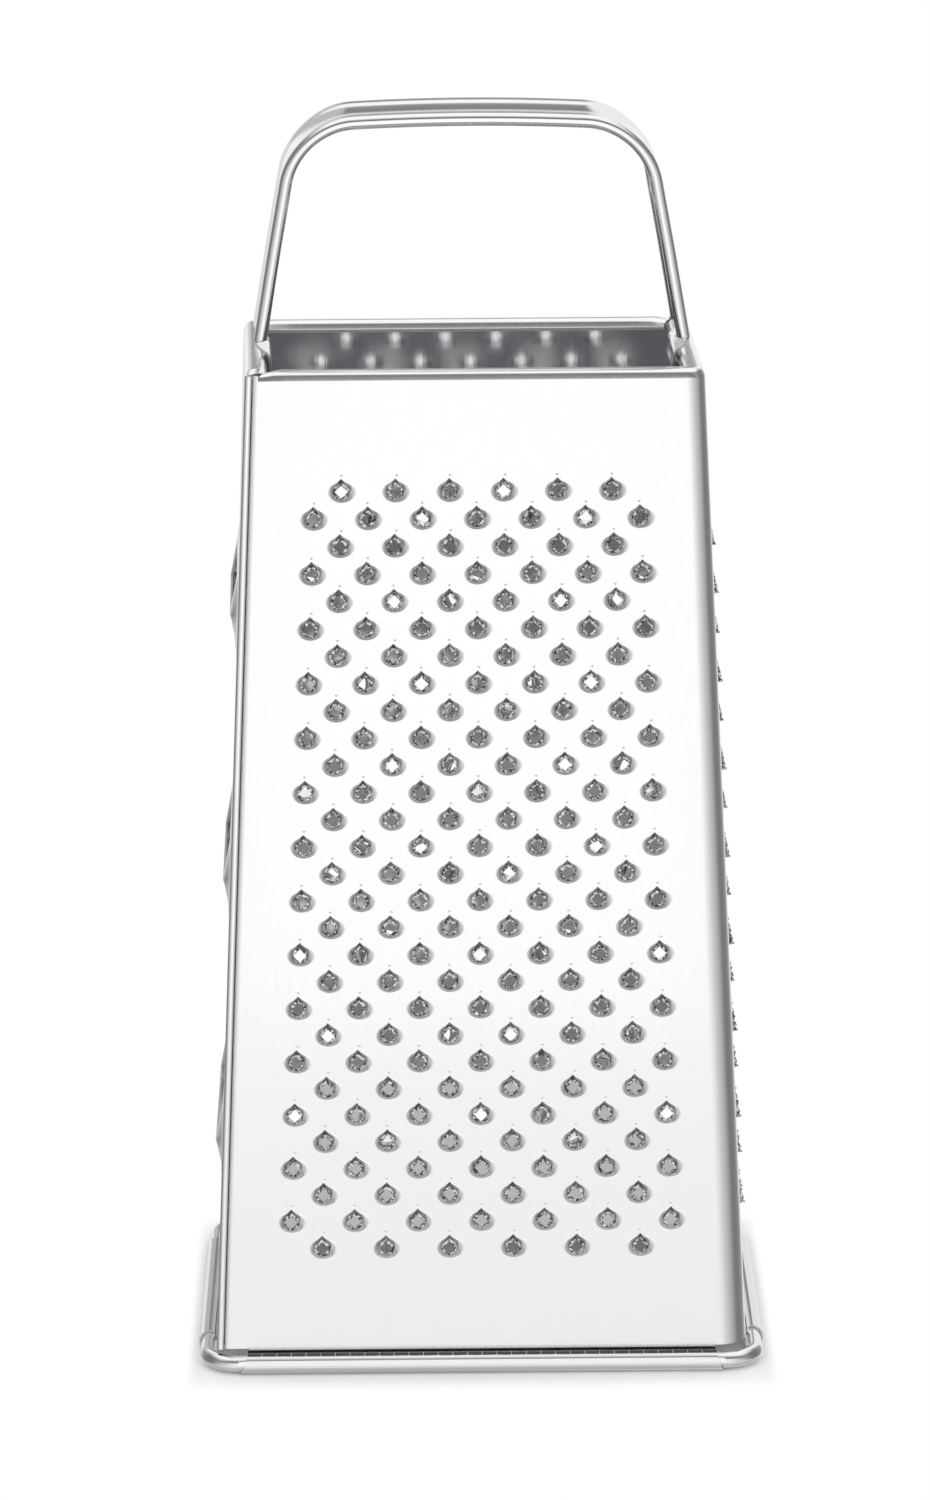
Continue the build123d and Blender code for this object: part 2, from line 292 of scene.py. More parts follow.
def new_material(name):
    """An empty node material and its output node."""
    material = bpy.data.materials.new(name)
    material.use_nodes = True
    tree = material.node_tree
    tree.nodes.clear()
    return material, tree, tree.nodes.new("ShaderNodeOutputMaterial")


print("mid grey on the screen is", round(linear("#808080")[0], 3), "in linear light")

# %% [markdown]
# Brushed stainless sheet: an abrasive belt leaves scratches a few hundredths of a millimetre wide and many
# millimetres long, and they spread the shine sideways into a soft band. They are too fine to show here, so
# the pattern is drawn with lines 0.35 mm apart. An image of brushed steel would repeat and have no depth,
# so the scratches are a noise stretched up and down. A second, wider noise lets the shine wander a little,
# as on a sheet that was never quite flat. The inside wasn't brushed after pressing, so it is smoother.

# %% Brushed stainless sheet
LINE_SPACING = 0.35
LINE_LENGTH = 30.0
WANDER_SIZE = 45.0
QUARTER_TURN = 0.25
NOISE_LOW, NOISE_HIGH = 0.3, 0.7
LINE_SWING = 0.15


def brushed_stainless(name, code, roughness, spread, line_depth, wander_depth):
    material, tree, output = new_material(name)
    place = add_node(tree, "ShaderNodeTexCoord").outputs["Object"]
    across = 1 / (LINE_SPACING * MILLIMETRE)
    along = 1 / (LINE_LENGTH * MILLIMETRE)
    stretch = add_node(tree, "ShaderNodeMapping", {"Scale": (across, across, along)}, {"Vector": place})
    lines = add_node(
        tree, "ShaderNodeTexNoise", {"Scale": 1.0, "Detail": 3.0}, {"Vector": stretch.outputs["Vector"]}
    )
    wander = add_node(
        tree,
        "ShaderNodeTexNoise",
        {"Scale": 1 / (WANDER_SIZE * MILLIMETRE), "Detail": 1.0},
        {"Vector": place},
    )
    least, most = roughness * (1 - LINE_SWING), roughness * (1 + LINE_SWING)
    shine = add_node(
        tree,
        "ShaderNodeMapRange",
        {"From Min": NOISE_LOW, "From Max": NOISE_HIGH, "To Min": least, "To Max": most},
        {"Value": lines.outputs["Fac"]},
    )
    soft = add_node(
        tree,
        "ShaderNodeBump",
        {"Strength": 1.0, "Distance": wander_depth * MILLIMETRE},
        {"Height": wander.outputs["Fac"]},
    )
    bump = add_node(
        tree,
        "ShaderNodeBump",
        {"Strength": 1.0, "Distance": line_depth * MILLIMETRE},
        {"Height": lines.outputs["Fac"], "Normal": soft.outputs["Normal"]},
    )
    sideways = add_node(tree, "ShaderNodeTangent", {"direction_type": "RADIAL", "axis": "Z"})
    metal = add_node(
        tree,
        "ShaderNodeBsdfPrincipled",
        {
            "Base Color": linear(code),
            "Metallic": 1.0,
            "Anisotropic": spread,
            "Anisotropic Rotation": QUARTER_TURN,
        },
        {
            "Roughness": shine.outputs["Result"],
            "Normal": bump.outputs["Normal"],
            "Tangent": sideways.outputs["Tangent"],
        },
    )
    tree.links.new(metal.outputs["BSDF"], output.inputs["Surface"])
    return material


brushed_sheet = brushed_stainless("brushed_stainless_sheet", "#FEFEFE", 0.18, 0.5, 0.002, 0.1)
inside_sheet = brushed_stainless("unpolished_inner_stainless", "#F0F0F2", 0.07, 0.5, 0.002, 0.12)
print("lines", LINE_SPACING, "mm apart on", brushed_sheet.name, "and", inside_sheet.name)

# %% [markdown]
# Worked steel: the wire and the handle were drawn or rolled smooth and then tumbled, which leaves a clear
# shine with only faint marks. A sheared edge is raw metal, duller and a bit darker. Torn metal is bright
# where it broke, with painted shade in the pits between. The fold round a tooth is painted a dull grey as
# shade, with more painted shade in its pits, and the foot's crease and the top of its curl are painted dark
# as shade.
# One recipe makes them all: a noise varies the shine and the bump, and the painted pit shade is that noise
# again, put through a ramp of two colours. Real grit is under a tenth of a millimetre across, and it is
# drawn half a millimetre across so that it shows.

# %% Worked steel
MARK_SIZE = 1.6
GRIT_SIZE = 0.5
MARK_SWING = 0.3
PIT_BELOW, PIT_ABOVE = 0.42, 0.56


def worked_steel(name, code, roughness, mark_size, mark_depth, pit_shade_code=None):
    material, tree, output = new_material(name)
    place = add_node(tree, "ShaderNodeTexCoord").outputs["Object"]
    marks = add_node(
        tree, "ShaderNodeTexNoise", {"Scale": 1 / (mark_size * MILLIMETRE), "Detail": 4.0}, {"Vector": place}
    )
    least, most = roughness * (1 - MARK_SWING), roughness * (1 + MARK_SWING)
    shine = add_node(
        tree,
        "ShaderNodeMapRange",
        {"From Min": NOISE_LOW, "From Max": NOISE_HIGH, "To Min": least, "To Max": most},
        {"Value": marks.outputs["Fac"]},
    )
    bump = add_node(
        tree,
        "ShaderNodeBump",
        {"Strength": 1.0, "Distance": mark_depth * MILLIMETRE},
        {"Height": marks.outputs["Fac"]},
    )
    metal = add_node(
        tree,
        "ShaderNodeBsdfPrincipled",
        {"Base Color": linear(code), "Metallic": 1.0},
        {"Roughness": shine.outputs["Result"], "Normal": bump.outputs["Normal"]},
    )
    # The pit colour is painted shade in the hollows of the bump.
    if pit_shade_code:
        pit_shade = add_node(tree, "ShaderNodeValToRGB", {}, {"Fac": marks.outputs["Fac"]})
        set_stops(pit_shade, ((PIT_BELOW, pit_shade_code), (PIT_ABOVE, code)))
        tree.links.new(pit_shade.outputs["Color"], metal.inputs["Base Color"])
    tree.links.new(metal.outputs["BSDF"], output.inputs["Surface"])
    return material


cut_edge = worked_steel("sheared_stainless_edge", "#C9C9CB", 0.35, GRIT_SIZE, 0.01)
# The torn burr's dark pits are painted shade.
torn_burr = worked_steel("torn_stainless_burr", "#FAFAFC", 0.2, GRIT_SIZE, 0.2, "#606063")
bright_wire = worked_steel("drawn_stainless_wire", "#FAFAFA", 0.13, MARK_SIZE, 0.01)
bright_strap = worked_steel("polished_stainless_strap", "#FEFEFE", 0.1, MARK_SIZE, 0.006)
# The fold round a tooth is painted darker as shade, with painted pit shade.
fold_painted_shade = worked_steel("stainless_fold_painted_shade", "#A6A6A8", 0.3, GRIT_SIZE, 0.04, "#5C5C5E")
# This dark colour is painted shade for the foot's crease and the top of its curl.
foot_painted_shade = worked_steel("stainless_crevice_painted_shade", "#5A5A5C", 0.3, MARK_SIZE, 0.02)
sheet_finishes = [brushed_sheet, cut_edge, torn_burr, inside_sheet, fold_painted_shade, foot_painted_shade, foot_painted_shade]
print("materials:", [m.name for m in bpy.data.materials])

# %% [markdown]
# Seen from above, each sheet is an L. It starts with a flange that hides inside the next sheet, folds into
# the wide wall, bends round one corner into the narrow wall, and ends in a lip that grips the next flange.
# Every point of that outline slides along a straight line as the walls taper, so one tall strip is enough.

# %% Outline of one sheet
FLANGE_DEPTH = 4.0
FOLD_RADIUS = 2.1
LIP_FOLD = 0.75
LIP_FLAT = 0.12
LIP_TURN_IN = 42
FOLD_STEPS = 8
BEND_STEPS = 16


def arc(centre, radius, start, end, steps):
    """Points of a round stretch, from a start to an end angle in degrees."""
    turns = [math.radians(start + (end - start) * i / steps) for i in range(steps + 1)]
    return [(centre[0] + radius * math.cos(t), centre[1] + radius * math.sin(t)) for t in turns]


def flange_line(height):
    a, b = half_width(height), half_depth(height)
    x = -a + SHEET + FOLD_PLAY
    fold = arc((x + FOLD_RADIUS, -b + FOLD_RADIUS), FOLD_RADIUS, 180, 270, FOLD_STEPS)
    return [(x, -b + FLANGE_DEPTH)] + fold


def bend_line(height):
    a, b, r = half_width(height), half_depth(height), bend_radius(height)
    return arc((a - r, -b + r), r, -90, 0, BEND_STEPS)


def lip_line(height):
    a, b = half_width(height), half_depth(height)
    y = b + FOLD_PLAY + SHEET
    fold = arc((a - LIP_FOLD, y - LIP_FOLD), LIP_FOLD, 0, 90, FOLD_STEPS)
    bead = arc((a - LIP_FOLD - LIP_FLAT, y - LIP_FOLD), LIP_FOLD, 90, 90 + LIP_TURN_IN, FOLD_STEPS)
    return fold + bead


def upright_strip(skin, line, heights):
    """A strip that follows a plan line up through some heights."""
    skin.grid([[skin.corner((x, y, height)) for x, y in line(height)] for height in heights])


print("the bend's radius goes from", BASE_BEND, "at the crease to", TOP_BEND, "at the rim")

# %% [markdown]
# Each wall is a flat field with many holes. Cutting them out with a boolean leaves long, thin faces that
# shade badly. Here two-dimensional triangulation fills the field between the outlines of the raised spots,
# and each spot is then a stack of rings that climbs from the field to its edge. That keeps the flat steel
# truly flat, so it reflects cleanly, and spends the faces where the metal is worked.

# %% Walls with raised spots
TINY = 1e-6
MERGE_WITHIN = 1e-5


class Wall:
    """One flat wall of the sheet: where it lies, and the ends of its flat field at a height."""

    def __init__(self, wide):
        self.wide = wide
        self.lean = WIDE_LEAN if wide else NARROW_LEAN

    def place(self, across, height, rise):
        out, up = rise * math.cos(self.lean), rise * math.sin(self.lean)
        if self.wide:
            return across, -half_depth(height) - out, height + up
        return half_width(height) + out, across, height + up

    def field(self, height):
        a, b, r = half_width(height), half_depth(height), bend_radius(height)
        if self.wide:
            return -a + SHEET + FOLD_PLAY + FOLD_RADIUS, a - r
        return -b + r, b + FOLD_PLAY + SHEET - LIP_FOLD


def add_spot(skin, wall, across, height, rings, finishes, metals):
    """Rings of (across, up, rise) points round a place on the wall, from the field inward."""
    rows = []
    for ring, metal in zip(rings, metals):
        row = []
        for side, up, rise in ring:
            place = wall.place(across + side, height + up * math.cos(wall.lean), rise)
            row.append(skin.corner(place, metal))
        rows.append(row)
    for low, high, finish in zip(rows, rows[1:], finishes):
        skin.grid([low, high], finish, closed=True)
    return [(across + side, height + up * math.cos(wall.lean)) for side, up, rise in rings[0]]


def add_field(skin, wall, top_points, bottom_points, holes):
    """Fills a wall's flat field, leaving out the closed outlines in holes."""
    border = [(across, CREASE) for across in bottom_points]
    border += [(across, SHOULDER) for across in reversed(top_points)]
    points = [Vector(p) for p in border]
    edges = [(i, (i + 1) % len(border)) for i in range(len(border))]
    owner = [-1] * len(border)
    for number, outline in enumerate(holes):
        start = len(points)
        points += [Vector(p) for p in outline]
        owner += [number] * len(outline)
        edges += [(start + i, start + (i + 1) % len(outline)) for i in range(len(outline))]
    made, _, triangles, sources, _, _ = delaunay_2d_cdt(points, edges, [], 1, MERGE_WITHIN, True)
    group = [owner[source[0]] if source else -1 for source in sources]
    for triangle in triangles:
        owners = {group[i] for i in triangle}
        if len(owners) == 1 and -1 not in owners:
            continue
        p, q, r = (made[i] for i in triangle)
        if (q - p).cross(r - p) < 0:
            triangle = list(reversed(triangle))
        skin.face([skin.corner(wall.place(made[i].x, made[i].y, 0)) for i in triangle])


for wall in (Wall(True), Wall(False)):
    print("flat field at the crease:", [round(end, 2) for end in wall.field(CREASE)])

# %% [markdown]
# The rolled rim is its profile run along both walls and round the bend between them. A bevelled curve could
# do that, but a grid of rows keeps the rim joined to the walls' own corners. Its ends are mitred so that
# neighbouring rolls clear each other, and they droop a little, as a roll does where it was cut.

# %% Rolled rim
RIM_LIP_GAP = 0.6
RIM_MITRE = 0.55
RIM_END = 1.6
RIM_END_DROOP = 0.3
RIM_COLUMNS = 28


def spread(start, end, count):
    return [start + (end - start) * i / count for i in range(count + 1)]


def rim_line(inward):
    """Plan points of the rim, some way in from the walls, from the flange's fold round to the lip."""
    a, b, r = half_width(SHOULDER), half_depth(SHOULDER), bend_radius(SHOULDER)
    turn = max(r, inward)
    start = Wall(True).field(SHOULDER)[0] + RIM_MITRE * inward
    end = b - RIM_LIP_GAP - RIM_MITRE * inward
    wide = [(x, -b + inward) for x in spread(start, a - turn, RIM_COLUMNS)]
    narrow = [(a - inward, y) for y in spread(-b + turn, end, RIM_COLUMNS)]
    return wide[:-1] + arc((a - turn, -b + turn), turn - inward, -90, 0, BEND_STEPS) + narrow[1:]


def add_rim(skin):
    """Adds the rolled rim of both walls."""
    rows = []
    for inward, up in RIM_PROFILE:
        line = rim_line(inward)
        row = []
        for x, y in line:
            to_end = min(x - line[0][0], RIM_END) / RIM_END
            to_lip = min(max(line[-1][1] - y, x - line[-1][0]), RIM_END) / RIM_END
            droop = RIM_END_DROOP * ((1 - to_end) ** 3 + (1 - to_lip) ** 3)
            row.append(skin.corner((x, y, SHOULDER + up * (1 - droop))))
        rows.append(row)
    skin.grid(rows)


def rim_joints(wall):
    """Places across the wall where the rim joins the flat field."""
    low, high = wall.field(SHOULDER)
    along = [x if wall.wide else y for x, y in rim_line(0)]
    part = along[: RIM_COLUMNS + 1] if wall.wide else along[-RIM_COLUMNS - 1 :]
    return [low] + [s for s in part if low + TINY < s < high - TINY] + [high]


print("the rim runs through", len(rim_line(0)), "places")

# %% [markdown]
# The foot is the wall's bottom edge curled outward round the wire, and its ends are cut on a slant where the
# bare wire turns. It is one profile run along the wall, like the rim. On the wide walls the crease above the
# curl and the top of the curl beside it are painted dark as shade, and narrow crimp marks across the curl's
# shaded band are left plain steel, so they show bright. They are finishes on rows and columns of the
# grid, because a line as thin as these marks would blur in a painted pattern.

# %% Curled foot
FOOT_STEPS = 30
FOOT_SWEEP = 300
FOOT_COLUMNS = 32
FOOT_SLANT = 0.95
WIDE_FOOT_GAP = 5.4
NARROW_FOOT_GAP = 11.0
CRIMP_MARK = 0.09
CRIMP_ROWS = (3, 7)
SHADED_CREASE_DEPTHS = (0.3, 1.1)
SHADED_CURL_TURNS = (240, 286)


def foot_profile():
    """(outward, height) from the crease down and round the wire."""
    turns = [math.radians(FOOT_SWEEP) * i / FOOT_STEPS for i in range(FOOT_STEPS + 1)]
    curl = [(FOOT_BORE * (1 - math.cos(t)), FOOT_CENTRE - FOOT_BORE * math.sin(t)) for t in turns]
    return [(0, CREASE), (0, CREASE - SHADED_CREASE_DEPTHS[0]), (0, CREASE - SHADED_CREASE_DEPTHS[1])] + curl


def foot_finish(row):
    """The finish of the strip above a row of the foot's profile, counted from the curl's free edge."""
    # The crease strips get painted shade on the outer skin, and the top of the curl gets it on both skins.
    if row in (FOOT_STEPS, FOOT_STEPS + 1):
        return SHADED_CREASE_LINE
    return SHADED_CREVICE if SHADED_CURL_TURNS[0] < FOOT_SWEEP * (1 - row / FOOT_STEPS) < SHADED_CURL_TURNS[1] else WALL


def foot_places(half):
    """Places along the foot, with a narrow crimp mark beside each."""
    places = []
    for s in spread(-half, half, FOOT_COLUMNS):
        places += [s, s + CRIMP_MARK]
    return places[:-1]


def add_foot(skin, wall):
    """Adds the foot and returns the places across the wall where it joins the flat field."""
    reach = half_width(CREASE) if wall.wide else half_depth(CREASE)
    middle = reach - (WIDE_FOOT_GAP if wall.wide else NARROW_FOOT_GAP)
    rows = []
    for outward, height in reversed(foot_profile()):
        half = middle + FOOT_SLANT * (1 - 2 * max(height, 0) / CREASE)
        row = []
        for s in foot_places(half):
            if wall.wide:
                place = (s, -half_depth(CREASE) - outward, height)
            else:
                place = (half_width(CREASE) + outward, s, height)
            row.append(skin.corner(place))
        rows.append(row)
    for number, (under, over) in enumerate(zip(rows, rows[1:])):
        finish = foot_finish(number) if wall.wide else WALL
        for i in range(len(under) - 1):
            # Crimp marks are narrow strips of plain steel across the curl's painted shade.
            crimped = i % 2 == 0 and CRIMP_ROWS[0] <= number < CRIMP_ROWS[1]
            skin.face((under[i], under[i + 1], over[i + 1], over[i]), WALL if crimped else finish)
    low, high = wall.field(CREASE)
    return [low] + foot_places(middle - FOOT_SLANT) + [high]


print("the foot's profile has", len(foot_profile()), "points and", FOOT_COLUMNS, "crimp marks")

# %% [markdown]
# A fine tooth is made by a pointed punch that bursts through from inside. The sheet bulges into a boss that
# spreads most to the right, folds over along a teardrop with its point up, and tears into ragged petals
# round a square hole that stands on its corner. A bump map could hint at that, but the torn edge shows
# against the light, so each tooth is real rings of corners, with thinner metal toward the tear. No two teeth
# tear alike, so a seeded random number moves every corner of the petals a little. The ring at the fold is
# painted a dull grey as shade, and the torn metal is bright with pits of painted shade, which makes each
# tooth a dark, glinting spot.

# %% Fine teeth
ROUND = 32
TURNS = [2 * math.pi * i / ROUND for i in range(ROUND)]
TOOTH_RADIUS, TOOTH_APEX = 1.6, 2.36
TORN_RADIUS, TORN_APEX = 1.49, 1.72
TOOTH_HALF_HOLE = 1.32
BOSS_MEAN, BOSS_FADE, BOSS_RIGHT, BOSS_LEFT = 0.36, 0.25, 0.95, 0.55
BOSS_RISE, BOSS_TOP_RISE = 0.56, 0.1
BOSS_COLLAR = 0.12
SIDE_POWER, TOP_POWER, CLIMB_POWER = 2.5, 0.8, 1.6
PETAL_RISE, PETAL_CURL = 0.62, 0.12
EDGE_RAG, PETAL_RAG, LIFT_RAG = 0.05, 0.06, 0.12
BOSS_STEPS = (0.0, 0.14, 0.3, 0.47, 0.65, 0.83, 1.0)
PETAL_STEPS = (0.0, 0.45, 1.0)
TOOTH_METALS = [SHEET] * 8 + [0.36, 0.26, 0.14]
# The ring at the fold has painted shade, and the torn petals have painted pit shade.
TOOTH_FINISHES = [WALL] * 7 + [SHADED_FOLD] + [TORN] * 2


def spot(radius, turn, rise):
    """A point (across, up, rise) of a ring round a raised spot."""
    return radius * math.cos(turn), radius * math.sin(turn), rise


def drop(turn, radius, apex):
    """Distance to the edge of a teardrop: a circle, and two straight flanks up to a point."""
    off_top = abs((turn - math.pi / 2 + math.pi) % (2 * math.pi) - math.pi)
    touch = math.acos(radius / apex)
    return radius / math.cos(max(touch - off_top, 0))


def boss_edge(turn):
    """Distance from the tooth's middle to the foot of its boss, which spreads most to the right."""
    right, left = max(math.cos(turn), 0) ** SIDE_POWER, max(-math.cos(turn), 0) ** SIDE_POWER
    wider = BOSS_RIGHT * right + BOSS_LEFT * left
    return drop(turn, TOOTH_RADIUS, TOOTH_APEX) + BOSS_MEAN - BOSS_FADE * math.sin(turn) + wider


def tooth_rings(chance):
    """Rings from the flat wall up the boss to its fold, over the rim, and down ragged petals to the hole."""
    feet = [boss_edge(t) for t in TURNS]
    folds = [drop(t, TOOTH_RADIUS, TOOTH_APEX) for t in TURNS]
    tops = [BOSS_RISE + (BOSS_TOP_RISE - BOSS_RISE) * max(math.sin(t), 0) ** TOP_POWER for t in TURNS]
    rings = [[spot(foot + BOSS_COLLAR, t, 0) for t, foot in zip(TURNS, feet)]]
    for share in BOSS_STEPS:
        climb = share**CLIMB_POWER
        places = zip(TURNS, feet, folds, tops)
        rings.append([spot(foot + (fold - foot) * share, t, top * climb) for t, foot, fold, top in places])
    rims = [drop(t, TORN_RADIUS, TORN_APEX) for t in TURNS]
    square = [TOOTH_HALF_HOLE / (abs(math.sin(t)) + abs(math.cos(t))) for t in TURNS]
    edges = [side + chance.uniform(-EDGE_RAG, EDGE_RAG) for side in square]
    for share in PETAL_STEPS:
        rag = PETAL_RAG if share < 1 else 0.0
        row = []
        for t, rim, edge in zip(TURNS, rims, edges):
            reach = rim + (edge - rim) * share + chance.uniform(-rag, rag)
            curl = PETAL_CURL * share * abs(math.sin(2 * t))
            row.append(spot(reach, t, PETAL_RISE + curl + chance.uniform(-LIFT_RAG, LIFT_RAG)))
        rings.append(row)
    return rings


print("a fine tooth has", len(TOOTH_METALS), "rings of", ROUND, "corners")

# %% [markdown]
# The larger holes are worked too. A coarse hole has a lip: its lower edge is pushed out in a smooth, sharp
# scoop, and its upper edge stays flush. A medium hole is burst like a fine tooth, but stays round, and its
# torn rim stands up as a thin jagged crown, which shows as a chain of barbs along the grater's outline.
# Both are rings again. A lip's rings climb most below the hole, and every few corners of a crown dip.

# %% Lips and crowns
LIP_STEPS = (0.12, 0.3, 0.52, 0.76, 1.0)
LIP_TOE, LIP_POWER, LIP_SKEW = 1.06, 1.35, 0.7
LIP_METALS = [SHEET, SHEET, SHEET, SHEET, 0.36, 0.3, 0.2]
LIP_FINISHES = [WALL] * 6
CROWN_TOE, CROWN_WALL, CROWN_FOOT, CROWN_LEAST = 1.04, 0.12, 0.1, 0.25
JAG_DEPTH, JAG_PITCH = 0.45, 4
CROWN_METALS = [SHEET, SHEET, 0.34, 0.22, 0.14]
# The torn crown has painted pit shade.
CROWN_FINISHES = [WALL, WALL, TORN, TORN]


def ring(radius, rise):
    return [spot(radius, t, rise) for t in TURNS]


def lowness(turn):
    """0 at the top of a spot and 1 at its bottom."""
    return 0.5 - 0.5 * math.sin(turn)


def lip_rings(hole_radius, base_radius, rise):
    """A shredding lip: flush with the wall above the hole, high and sharp below it."""
    rings = [ring(base_radius * LIP_TOE, 0), ring(base_radius, 0)]
    for share in LIP_STEPS:
        radius = base_radius + (hole_radius - base_radius) * share
        climb = share**LIP_POWER
        rings.append([spot(radius, t, rise * lowness(t) ** LIP_SKEW * climb) for t in TURNS])
    return rings


def crown_rings(hole_radius, base_radius, rise):
    """A low boss with a thin jagged crown, which stands highest below the hole."""
    rings = [ring(base_radius * CROWN_TOE, 0), ring(base_radius, 0)]
    rings.append(ring(hole_radius + CROWN_WALL, CROWN_FOOT))
    half = JAG_PITCH / 2
    for radius, share in ((hole_radius + CROWN_WALL / 2, 0.5), (hole_radius, 1.0)):
        row = []
        for i, t in enumerate(TURNS):
            jag = 1 - JAG_DEPTH + JAG_DEPTH * abs(i % JAG_PITCH - half) / half
            stand = CROWN_LEAST + (rise - CROWN_FOOT - CROWN_LEAST) * lowness(t)
            row.append(spot(radius, t, CROWN_FOOT + stand * jag * share))
        rings.append(row)
    return rings


print("a lip has", len(LIP_METALS), "rings and a crown", len(CROWN_METALS))

# %% [markdown]
# Above each fine tooth the punch's guide has left a short shallow nick in the wall. It is a closed dimple,
# a spot with a floor instead of a hole, and a bump is too soft for an edge this small.

# %% Punch nicks
NICK_RISE = 3.02
NICK_POINTS = 10
NICK_HALF_WIDTH, NICK_HALF_HEIGHT = 0.36, 0.2
NICK_STEPS = ((1.4, 0.0), (1.0, 0.0), (0.55, -0.05), (0.1, -0.09))
NICK_DRIFT = (-0.1, 0.35)


def add_nick(skin, wall, across, height):
    """A shallow closed dimple. Returns its outline."""
    turns = [2 * math.pi * i / NICK_POINTS for i in range(NICK_POINTS)]
    rings = []
    for share, rise in NICK_STEPS:
        wide, tall = NICK_HALF_WIDTH * share, NICK_HALF_HEIGHT * share
        rings.append([(wide * math.cos(t), tall * math.sin(t), rise) for t in turns])
    outline = add_spot(skin, wall, across, height, rings, [WALL] * 3, [SHEET] * 4)
    slope = math.cos(wall.lean)
    skin.face([skin.corner(wall.place(across + x, height + y * slope, rise)) for x, y, rise in rings[-1]])
    return outline


print("a nick is", 2 * NICK_HALF_WIDTH, "by", 2 * NICK_HALF_HEIGHT, "mm")

# %% [markdown]
# The holes lie in staggered rows: every other row has one fewer, between the holes of its neighbours.
# A row spreads with the taper, so its outer holes keep their distance from the corners. A pattern is its
# margins above and below, the pitch of its rows, the margin at its sides and the holes in a full row.

# %% Staggered rows
FINE_PATTERN = (22.65, 19.0, 5.26, 13.7, 7)
COARSE_PATTERN = (38.4, 15.0, 18.7, 13.4, 5)
MEDIUM_PATTERN = (34.2, 19.0, 8.56, 9.0, 7)


def row_heights(top_margin, bottom_margin, pitch):
    top = RIM_HEIGHT - top_margin
    room = top - CREASE - bottom_margin
    return [top - row * pitch for row in range(int(room / pitch) + 1)]


def staggered(pattern, half_wall):
    """Places (across, height) of a pattern's holes on a wall."""
    top_margin, bottom_margin, pitch, side_margin, columns = pattern
    places = []
    for row, height in enumerate(row_heights(top_margin, bottom_margin, pitch)):
        spacing = 2 * (half_wall(height) - side_margin) / (columns - 1)
        count = columns - 1 if row % 2 == 0 else columns
        places += [((i - (count - 1) / 2) * spacing, height) for i in range(count)]
    return places


FINE = staggered(FINE_PATTERN, half_width)
COARSE = staggered(COARSE_PATTERN, half_width)
MEDIUM = staggered(MEDIUM_PATTERN, half_depth)
print("holes: fine", len(FINE), "coarse", len(COARSE), "medium", len(MEDIUM))

# %% [markdown]
# A slicer is a slot whose lower edge is pushed out into a low ridge. The ridge's crest is the blade, and the
# slot opens above it. Rings can't follow so long a shape, so the ridge is a small grid with its own steps
# where it turns, and the slot is the faces left out. Its ends slope more gently further below the crest.

# %% Slicing slots
SLOT_ROWS = (48.9, 26.0, 51.7)
SLOT_SIDE = 8.5
SLOT_RISE = 1.5
SLOT_LOWER, SLOT_UPPER = 11.5, 9.5
SLOT_END_RAMP, SLOT_LONG_RAMP, SLOT_RAMP_DROP = 4.0, 11.0, 6.0
SLOT_END = 2.0
SLOT_OPENING = 7.0
CREST_TUCK, CREST_TOP = 0.4, 0.9
END_STEPS, MIDDLE_STEPS, LOWER_STEPS, UPPER_STEPS = 8, 16, 12, 3


def ease(share):
    """A smooth climb from 0 to 1 with a rounded toe."""
    share = min(max(share, 0.0), 1.0)
    return share * share * (1.6 - 0.6 * share)


def add_slicer(skin, wall, crest):
    """Adds one ridge with its slot and returns the ridge's outline."""
    half = half_depth(crest) - SLOT_SIDE
    open_half = half - SLOT_END_RAMP - SLOT_END
    end = spread(-half, -half + SLOT_END_RAMP, END_STEPS) + [-open_half]
    columns = end + spread(-open_half, open_half, MIDDLE_STEPS)[1:-1] + [-s for s in reversed(end)]
    rows_up = spread(-SLOT_LOWER, -CREST_TUCK, LOWER_STEPS) + [0.0, CREST_TOP, SLOT_OPENING / 2]
    rows_up += spread(SLOT_OPENING, SLOT_UPPER, UPPER_STEPS)
    tall = math.cos(wall.lean)
    rows = []
    for up in rows_up:
        climb = ease((up + SLOT_LOWER) / SLOT_LOWER) if up <= 0 else 1 - up / SLOT_UPPER
        ramp = SLOT_END_RAMP + SLOT_LONG_RAMP * ease(-up / SLOT_RAMP_DROP)
        row = []
        for s in columns:
            rise = SLOT_RISE * min(climb, ease((half - abs(s)) / ramp))
            row.append(skin.corner(wall.place(s, crest + up * tall, rise)))
        rows.append(row)
    for low, high, low_up in zip(rows, rows[1:], rows_up):
        for i, s in enumerate(columns[:-1]):
            inside = -open_half - TINY < s < open_half - TINY
            if not (inside and -TINY < low_up < SLOT_OPENING - TINY):
                skin.face((low[i], low[i + 1], high[i + 1], high[i]))
    outline = [(s, crest - SLOT_LOWER * tall) for s in columns]
    outline += [(half, crest + up * tall) for up in rows_up[1:]]
    outline += [(s, crest + SLOT_UPPER * tall) for s in reversed(columns[:-1])]
    outline += [(-half, crest + up * tall) for up in reversed(rows_up[1:-1])]
    return outline


CRESTS = row_heights(*SLOT_ROWS)
print("blades at heights", [round(crest, 1) for crest in CRESTS])

# %% [markdown]
# Now the two sheets can be put together. The first carries the fine teeth and the medium crowns, the second
# the coarse lips and the slicing slots, and the second is turned half round so that flange meets lip. Its
# seam strips stand a little above the walls' shoulders, where the bead shows between the two rims.

# %% Build the two sheets
TEAR_SEED = 7
SEAM_RISE = 1.2
MEDIUM_HOLE, MEDIUM_BASE, MEDIUM_RISE = 2.05, 2.75, 1.15
COARSE_HOLE, COARSE_BASE, COARSE_RISE = 4.2, 5.7, 2.2


def build_wall(skin, wall, holes):
    bottom_points = add_foot(skin, wall)
    add_field(skin, wall, rim_joints(wall), bottom_points, holes)


def start_sheet():
    skin = Skin()
    upright_strip(skin, bend_line, (CREASE, SHOULDER))
    for line in (flange_line, lip_line):
        upright_strip(skin, line, (CREASE, SHOULDER, SHOULDER + SEAM_RISE))
    return skin, Wall(True), Wall(False)


